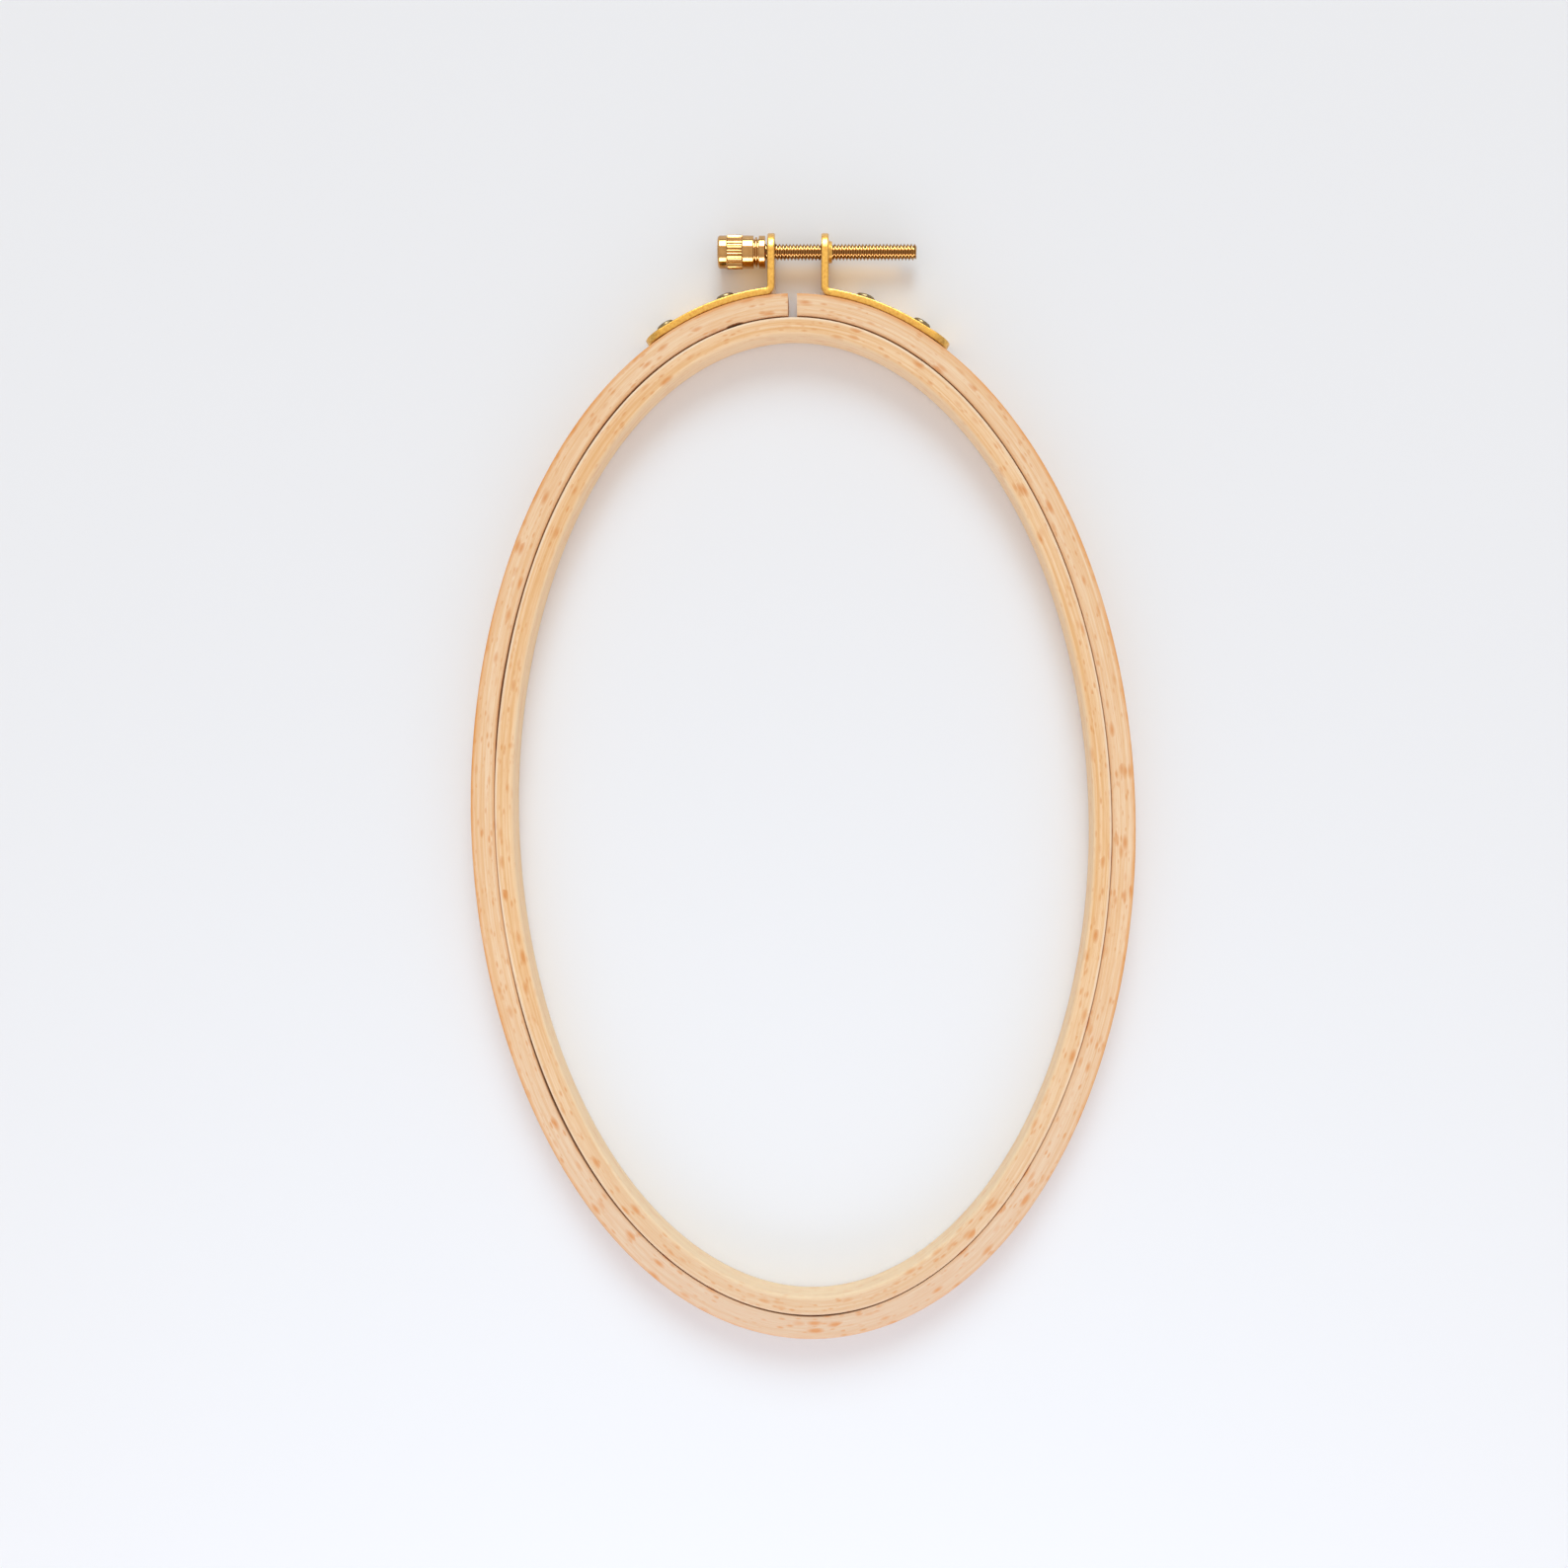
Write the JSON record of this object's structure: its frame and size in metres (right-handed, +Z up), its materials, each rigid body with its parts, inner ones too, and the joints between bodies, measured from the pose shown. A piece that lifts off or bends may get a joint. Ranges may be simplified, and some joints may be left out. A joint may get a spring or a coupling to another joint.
{
  "type": "embroidery hoop",
  "caption": "Oval screw embroidery hoop: nested bent-wood rings, the split outer ring drawn together by a riveted brass clamp and a knurled thumb screw.",
  "frame": {"origin": "on the surface the hoop lies on, at the middle of the part's outline (far end of the outer hoop to the tops of the brackets, side to side)", "axes": "+X along the clamp screw towards its tip, +Y from the middle of the oval towards the clamp, +Z up out of the table; the oval's long axis leans 1.6 degrees anticlockwise from +Y"},
  "size_m": [0.1512, 0.2524, 0.0095],
  "materials": {
    "beech_outer": "bare sanded beech, satin",
    "beech_inner": "bare sanded beech, satin",
    "brass_strip": "lacquered brass strip, tumbled edges",
    "turned_brass": "bright turned brass, knurled",
    "rivet_brass": "dull antique brass"
  },
  "bodies": {
    "outer_left": {"outer_hoop_left": "beech_outer", "bracket_left": "brass_strip", "rivet_left_near": "rivet_brass", "rivet_left_far": "rivet_brass"},
    "outer_right": {"outer_hoop_right": "beech_outer", "bracket_right": "brass_strip", "rivet_right_near": "rivet_brass", "rivet_right_far": "rivet_brass"},
    "screw": {"clamp_screw": "turned_brass"},
    "inner": {"inner_hoop": "beech_inner"}
  },
  "joints": [
    {"name": "hoop_opening", "type": "hinge", "parent": "outer_left", "child": "outer_right", "pos_m": [0.00196, -0.1262, 0.00475], "axis": [0, 0, -1], "range_deg": [0, 1.28]},
    {"name": "screw_turn", "type": "hinge", "parent": "outer_left", "child": "screw", "pos_m": [-0.0082, 0.12195, 0.00475], "axis": [-1, 0, 0], "range_deg": [0, 2520]},
    {"name": "inner_hoop_lift", "type": "slide", "parent": "outer_left", "child": "inner", "axis": [0, 0, 1], "range_m": [0, 0.03]}
  ],
  "couplings": [
    {"joint": "screw_turn", "follows": "hoop_opening", "ratio": 1963.6}
  ]
}
